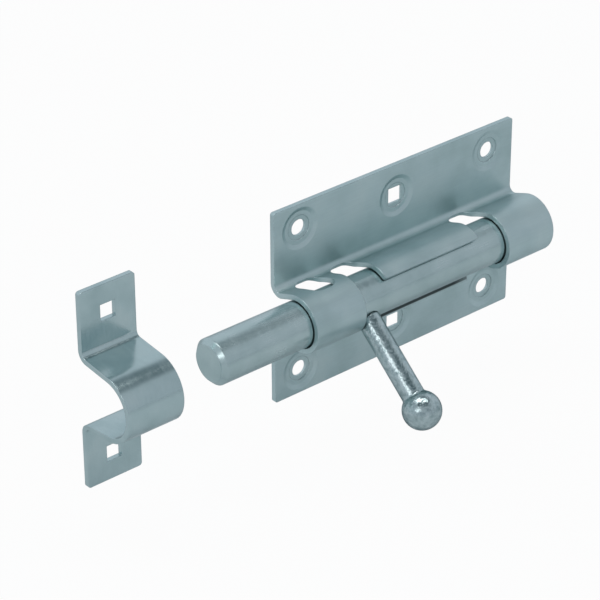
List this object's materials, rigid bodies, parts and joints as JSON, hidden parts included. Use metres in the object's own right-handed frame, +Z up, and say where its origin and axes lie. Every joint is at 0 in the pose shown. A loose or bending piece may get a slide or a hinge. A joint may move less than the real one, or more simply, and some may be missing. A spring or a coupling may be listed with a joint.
{
  "type": "door bolt",
  "caption": "Surface-mounted door bolt: a round bar slides in a pressed steel housing, turned and pulled by a ball lever, with a bent strap keeper.",
  "frame": {"origin": "centre of the housing plate's back face, which lies on the door", "axes": "+X along the bar, away from the keeper; -Y out of the door towards the user; +Z up"},
  "size_m": [0.207, 0.0587, 0.08],
  "materials": {
    "pressed_zinc": "bright zinc plate on pressed sheet, satin",
    "bar_zinc": "bright zinc plate on drawn bar, half gloss",
    "turned_zinc": "bright zinc plate on turned steel, glossy",
    "strap_zinc": "bright zinc plate on bent strap, satin"
  },
  "bodies": {
    "housing": {"housing": "pressed_zinc", "keeper": "strap_zinc"},
    "bolt": {"bolt_bar": "bar_zinc"},
    "handle": {"handle": "turned_zinc"}
  },
  "joints": [
    {"name": "bolt_slide", "type": "slide", "parent": "housing", "child": "bolt", "axis": [1, 0, 0], "range_m": [0, 0.0624]},
    {"name": "handle_turn", "type": "hinge", "parent": "bolt", "child": "handle", "pos_m": [-0.0312, -0.015, 0], "axis": [-1, 0, 0], "range_deg": [-55, 137]}
  ]
}
